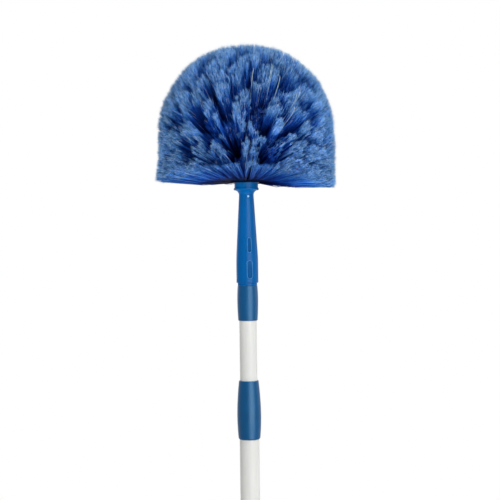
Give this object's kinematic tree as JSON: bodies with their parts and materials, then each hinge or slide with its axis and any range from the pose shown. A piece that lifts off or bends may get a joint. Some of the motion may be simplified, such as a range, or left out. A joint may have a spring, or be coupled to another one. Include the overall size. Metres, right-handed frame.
{
  "type": "cobweb brush",
  "caption": "Domed soft-bristle cobweb brush that pushes on to the tapered tip of a telescopic pole, with a twist collar to lock the tubes and a hanging eye.",
  "frame": {"origin": "middle of the bare hand-hold stretch of the outer tube, on the pole's axis", "axes": "+Z along the pole towards the brush head, -Y towards the front with the moulded recesses, +X to the right seen from the front"},
  "size_m": [0.2286, 0.2289, 0.9484],
  "materials": {
    "bristles": "satin",
    "core_plastic": "satin",
    "socket_plastic": "gloss",
    "grip_plastic": "satin",
    "white_tube": "satin",
    "bush_plastic": "satin",
    "steel": "satin"
  },
  "bodies": {
    "outer_pole": {"outer_tube": "white_tube", "thread_sleeve": "bush_plastic", "sleeve_pins": "steel", "end_cap": "grip_plastic", "cap_pin": "steel"},
    "clamp_ring": {"clamp_ring": "bush_plastic"},
    "lock_collar": {"lock_collar": "grip_plastic"},
    "inner_pole": {"inner_tube": "white_tube", "tip_grip": "grip_plastic", "pole_tip": "socket_plastic", "tip_pin": "steel", "guide_bush": "bush_plastic", "bush_pin": "steel"},
    "head": {"socket": "socket_plastic", "tuft_core": "core_plastic", "core_screw": "steel", "core_washer": "steel", "tuft_ring_1": "bristles", "tuft_ring_2": "bristles", "tuft_ring_3": "bristles", "tuft_ring_4": "bristles", "tuft_ring_5": "bristles", "tuft_crown": "bristles"}
  },
  "joints": [
    {"name": "pole_extend", "type": "slide", "parent": "outer_pole", "child": "inner_pole", "axis": [0, 0, 1], "range_m": [-0.074, 0.29]},
    {"name": "collar_travel", "type": "slide", "parent": "outer_pole", "child": "clamp_ring", "axis": [0, 0, 1], "range_m": [0, 0.0015]},
    {"name": "collar_turn", "type": "hinge", "parent": "clamp_ring", "child": "lock_collar", "pos_m": [0, 0, 0.247], "axis": [0, 0, 1], "range_deg": [0, 180]},
    {"name": "head_off", "type": "slide", "parent": "inner_pole", "child": "head", "axis": [0, 0, 1], "range_m": [0, 0.065]}
  ],
  "couplings": [
    {"joint": "collar_travel", "follows": "collar_turn", "m_per_rad": 0.00047746}
  ]
}
